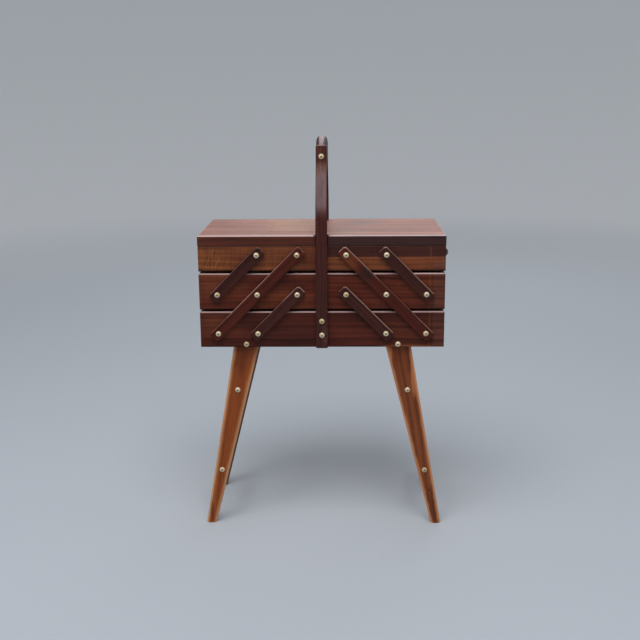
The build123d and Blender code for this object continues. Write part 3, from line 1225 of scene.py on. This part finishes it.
@dataclass
class LegFrame:
    """Four splayed legs and the rails between them.

    Attributes:
        height: height of the box above the floor.
        top_reach: distance of a leg's outer edge from the middle, under the box.
        splay: how much further out the foot stands.
        top_width: width of a leg under the box.
        foot_width: width of its foot.
        left_bevel: pale wood on the planed corners of the left legs.
        right_bevel: the same on the right.
        shaded: painted shade on the faces that look in under the box.
    """

    height: float = 0.342
    top_reach: float = 0.1575
    splay: float = 0.060
    top_width: float = 0.045
    foot_width: float = 0.018
    left_bevel: Bevel = Bevel(tint("d9a074"), 0.9, 0.35)
    right_bevel: Bevel = Bevel(tint("da9a6c"), 0.9, 0.25)
    shaded: Colour = tint("34190f")

    def dress(self) -> None:
        """Dresses the legs and rails."""
        lean = self.splay - (self.top_width - self.foot_width) / 2
        for side in Side:
            slope = Vector((-side.value * lean, 0.0, self.height)).normalized()
            across = Vector((self.height, 0.0, side.value * lean)).normalized()
            wood = LEG_WOOD if side is Side.LEFT else RED_LEG_WOOD
            for face in Face:
                node = f"leg_{face.word}_{side.word}"
                edge = self.corners(node, side)
                rubs = self.rubs(side, face)
                wood.dress(Board(node, tuple(slope), tuple(across), edge, None, self.stains(side), rubs))
            LEG_WOOD.dress(Board(f"{side.word}_leg_rails", ALONG_Y, ALONG_Z))

    def stains(self, side: Side) -> tuple[Mark, ...]:
        """Gives the marks on a leg.

        Args:
            side: the side it stands on.

        Returns:
            A darker top, and on the right a darker foot too.
        """
        top = Patch(tint("6d3620"), 0.7, (side.value * 0.14, 0.0, 0.345), (0.05, FAR, 0.075))
        foot = Patch(tint("5d3122"), 0.6, (side.value * 0.205, 0.0, 0.04), (0.02, FAR, 0.06))
        return (top,) if side is Side.LEFT else (top, foot)

    def rubs(self, side: Side, face: Face) -> tuple[Mark, ...]:
        """Gives the marks over the grain of a leg.

        Args:
            side: the side it stands on.
            face: whether it stands at the front or the rear.

        Returns:
            Pale planed corners and painted shade on the faces under the box, with a darkened corner and foot on
            the left, and worn corners with a knot on the right.
        """
        inward = Vector((-side.value, -face.value, 0.0)).normalized()
        # Painted shade on the faces that look in under the box.
        shade = Turned(self.shaded, 0.78, direction=tuple(inward), start=0.45, stop=0.65)
        if side is Side.LEFT:
            return (
                self.left_bevel,
                Patch(tint("4a2415"), 0.6, (-0.112, 0.0, 0.32), (0.018, FAR, 0.06)),
                Patch(tint("5a3020"), 0.6, (-0.2065, 0.0, 0.02), (0.005, FAR, 0.035)),
                shade,
            )
        worn = WORN_LEG_WEAR.colour
        return (
            Patch(worn, 0.8, (0.1175, 0.0, 0.325), (0.0085, FAR, 0.026), 0.4),
            Patch(worn, 0.8, (0.1650, 0.0, 0.295), (0.0085, FAR, 0.055), 0.4),
            self.right_bevel,
            shade,
            Patch(tint("1d0f0a"), 0.9, (0.1955, -0.095, 0.066), (0.0018, 0.01, 0.0024), 0.5),
        )

    def corners(self, node: str, side: Side) -> Measure:
        """Makes the measure of the distance from a leg's four long corners.

        Args:
            node: the leg's name.
            side: the side it stands on.

        Returns:
            The distance of a point on the leg from the nearest long corner.
        """
        low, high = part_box(node)

        def distance(surface: Surface) -> Value:
            """Measures one point.

            Args:
                surface: the point.

            Returns:
                Its distance from the nearest long corner.
            """
            drop = 1.0 - surface.z / self.height
            outer = self.top_reach + drop * self.splay
            inner = outer - self.top_width + drop * (self.top_width - self.foot_width)
            out = surface.x * float(side.value)
            sideways = (outer - out).least(out - inner)
            endways = (surface.y - low.y).least(high.y - surface.y)
            return sideways.most(0.0) + endways.most(0.0)
        return distance


@dataclass
class Fittings:
    """Screws, hinges and pull knobs.

    Attributes:
        pivot_heads: distance of the tops of the pivot screws from the middle plane.
        handle_heads: the same for the screws of the handle.
        leg_heads: the same for the screws of the legs.
        recess_depth: depth of the cross in a head.
        slack: play of the masks at the rim and the floor of a cross.
        wall_facing: shares of facing front or rear between which a face counts as a wall.
        floor_facing: shares between which it counts as a floor.
    """

    pivot_heads: tuple[float, ...] = (0.1154,)
    handle_heads: tuple[float, ...] = (0.1153, 0.0733)
    leg_heads: tuple[float, ...] = (0.1073, 0.0983)
    recess_depth: float = 0.0015
    slack: float = 0.0001
    wall_facing: Pair = (0.5, 0.3)
    floor_facing: Pair = (0.96, 0.99)

    def dress(self) -> None:
        """Dresses the brass and the knobs."""
        SCREW_BRASS.dress("handle_screws", self.crosses(self.handle_heads))
        SCREW_BRASS.dress("leg_screws", self.crosses(self.leg_heads))
        SCREW_BRASS.dress("base_pivot_screws", self.crosses(self.pivot_heads))
        for side in Side:
            for tier in Tier:
                SCREW_BRASS.dress(f"{side.word}_{tier.word}_pivot_screws", self.crosses(self.pivot_heads))
            for part in ("tray_leaves", "lid_leaves", "pins"):
                HINGE_BRASS.dress(f"{side.word}_hinge_{part}")
            KNOB_POLISH.dress(Board(f"{side.word}_pull_knob", ALONG_X, ALONG_Z))

    def crosses(self, heads: tuple[float, ...]) -> Measure:
        """Makes the mask of the cross recesses of screws.

        Args:
            heads: distances of the tops of the heads from the middle plane.

        Returns:
            A mask that is 1 on the walls and floors of the recesses.
        """
        def mask(surface: Surface) -> Value:
            """Looks at one point.

            Args:
                surface: the point.

            Returns:
                Its share of grime.
            """
            out = surface.y.size()
            square = surface.facing_y.size()
            parts = []
            for top in heads:
                floor = top - self.recess_depth
                above = out.ramp(floor - 2 * self.slack, floor - self.slack)
                below = out.ramp(top + 2 * self.slack, top + self.slack)
                deep = out.ramp(floor + 6 * self.slack, floor + 4 * self.slack)
                sunk = square.ramp(*self.floor_facing) * deep
                parts.append(above * below * square.ramp(*self.wall_facing).most(sunk))
            return reduce(Value.most, parts)
        return mask


@dataclass(frozen=True)
class Lamp:
    """Square lamp that looks at the box.

    Attributes:
        name: its name.
        place: its middle.
        size: its width and depth.
        watts: its power.
        target: the point that it looks at.
        colour: colour of its light.
    """

    name: str
    place: Triple
    size: Pair
    watts: float
    target: Triple = (0.0, 0.0, 0.45)
    colour: Colour = tint("fbfcff")

    def hang(self) -> None:
        """Hangs the lamp."""
        lamp = bpy.data.lights.new(self.name, "AREA")
        lamp.shape = "RECTANGLE"
        lamp.size, lamp.size_y = self.size
        lamp.energy = self.watts
        lamp.color = self.colour[:3]
        holder = bpy.data.objects.new(self.name, lamp)
        holder.location = self.place
        holder.rotation_mode = "QUATERNION"
        holder.rotation_quaternion = (Vector(self.target) - Vector(self.place)).to_track_quat("-Z", "Y")
        bpy.context.scene.collection.objects.link(holder)


@dataclass
class Studio:
    """Pale floor that curves up into a backdrop all round, soft light and the camera.

    Attributes:
        floor_reach: radius of the flat floor.
        cove_radius: radius of the curve between the floor and the backdrop.
        cove_steps: steps of that curve.
        turn_steps: steps round the floor.
        near_paint: two colours of the floor's fine grain.
        far_paint: colour of the floor far from the box.
        far_squares: squares of the distances between which the paint changes.
        paint_roughness: least roughness of the paint and how much its grain adds.
        paint_gloss: specular level of the paint.
        lamps: the lamps over the box.
        sky: colour of the light from the side and from above.
        sky_strength: strength of that light.
        image_size: side of the picture in pixels.
        focal_length: distance of the picture from the eye in the same pixels.
        eye: place of the camera.
        pitch: degrees that the camera looks down.
        yaw: degrees that it looks to the right.
        roll: degrees that it is turned about its view.
        sensor: width of the sensor in millimetres.
    """

    floor_reach: float = 4.5
    cove_radius: float = 3.0
    cove_steps: int = 24
    turn_steps: int = 128
    near_paint: tuple[Colour, Colour] = (tint("bfc4ca"), tint("c7ccd2"))
    far_paint: Colour = tint("f6f8fa")
    far_squares: Pair = (1.0, 20.0)
    paint_roughness: Pair = (0.85, 0.1)
    paint_gloss: float = 0.1
    lamps: tuple[Lamp, ...] = (
        Lamp("main_softbox", (-0.25, -1.1, 2.4), (2.0, 1.4), 36.0),
        Lamp("rear_softbox", (0.4, 2.2, 1.9), (1.8, 1.4), 9.0),
    )
    sky: tuple[Colour, Colour] = (tint("8f979d"), tint("f2f5fa"))
    sky_strength: float = 0.5
    image_size: float = 640.0
    focal_length: float = 956.1
    eye: Triple = (0.035, -1.7343, 0.7954)
    pitch: float = 13.91
    yaw: float = -1.348
    roll: float = -0.43
    sensor: float = 36.0

    def build(self) -> None:
        """Builds the floor, the lights and the camera."""
        self.build_floor()
        self.build_sky()
        for lamp in self.lamps:
            lamp.hang()
        self.build_camera()
        bpy.context.scene.view_settings.view_transform = "Standard"

    def build_floor(self) -> None:
        """Builds the floor and its backdrop as one turned surface."""
        rises = [math.pi / 2 * step / self.cove_steps for step in range(self.cove_steps + 1)]
        turns = [2 * math.pi * step / self.turn_steps for step in range(self.turn_steps)]
        points = []
        for rise in rises:
            reach = self.floor_reach + self.cove_radius * math.sin(rise)
            level = self.cove_radius * (1.0 - math.cos(rise))
            points += [(reach * math.cos(turn), reach * math.sin(turn), level) for turn in turns]
        faces = [list(range(self.turn_steps))]
        for ring in range(self.cove_steps):
            start = ring * self.turn_steps
            for step in range(self.turn_steps):
                corner = start + step
                following = start + (step + 1) % self.turn_steps
                faces.append([corner, corner + self.turn_steps, following + self.turn_steps, following])
        mesh = bpy.data.meshes.new("floor")
        mesh.from_pydata(points, [], faces)
        mesh.polygons.foreach_set("use_smooth", [True] * len(faces))
        floor = bpy.data.objects.new("floor", mesh)
        bpy.context.scene.collection.objects.link(floor)
        mesh.materials.append(self.floor_material())

    def floor_material(self) -> bpy.types.Material:
        """Makes the floor's dull paint.

        Returns:
            A pale material with a fine, faint grain, whiter far from the box.
        """
        material, shader = new_material("pale_floor")
        surface = Surface(shader)
        grit = shader.noise(surface.place, detail=2.0, roughness=0.6, scale=260.0)
        square = surface.x * surface.x + surface.y * surface.y
        colour = shader.mix(grit, *self.near_paint)
        colour = shader.mix(square.ramp(*self.far_squares), colour, self.far_paint)
        least, added = self.paint_roughness
        varying = {"Base Color": colour, "Roughness": least + grit * added}
        shader.principled(varying, {"Specular IOR Level": self.paint_gloss})
        return material

    def build_sky(self) -> None:
        """Lights the scene from all round, more from above."""
        world = bpy.data.worlds.new("soft_sky")
        world.use_nodes = True
        bpy.context.scene.world = world
        shader = Shader(world.node_tree)
        direction = Value(shader, shader.node("TexCoord").outputs["Generated"])
        _, _, height = shader.split(direction)
        colour = shader.mix(height.ramp(0.0, 1.0), *self.sky)
        light = shader.output("Background", 0, None, {"Color": colour, "Strength": self.sky_strength})
        shader.node("OutputWorld", None, {"Surface": light})

    def build_camera(self) -> None:
        """Sets the camera at the photograph's viewing angle."""
        pitch, yaw, roll = (math.radians(angle) for angle in (self.pitch, self.yaw, self.roll))
        forward = Vector((math.sin(yaw) * math.cos(pitch), math.cos(yaw) * math.cos(pitch), -math.sin(pitch)))
        level_right = Vector((math.cos(yaw), -math.sin(yaw), 0.0))
        level_up = level_right.cross(forward)
        right = level_right * math.cos(roll) + level_up * math.sin(roll)
        up = level_up * math.cos(roll) - level_right * math.sin(roll)
        lens = bpy.data.cameras.new("camera")
        lens.sensor_width = self.sensor
        lens.lens = self.focal_length / self.image_size * self.sensor
        camera = bpy.data.objects.new("camera", lens)
        turn = Matrix((right, up, -forward)).transposed().to_4x4()
        camera.matrix_world = Matrix.Translation(self.eye) @ turn
        bpy.context.scene.collection.objects.link(camera)
        bpy.context.scene.camera = camera


def main() -> None:
    """Dresses the sewing box and sets up the studio."""
    logging.basicConfig(level=logging.INFO, format="%(name)s: %(message)s")
    assemblies: list[Assembly] = [BaseBox()]
    assemblies += [Tray(side, tier) for side in Side for tier in Tier]
    assemblies += [Lid(side) for side in Side]
    assemblies += [LinkSet(side) for side in Side]
    assemblies += [Handle(), LegFrame(), Fittings()]
    for assembly in assemblies:
        assembly.dress()
    Studio().build()


if __name__ == "__main__":
    main()
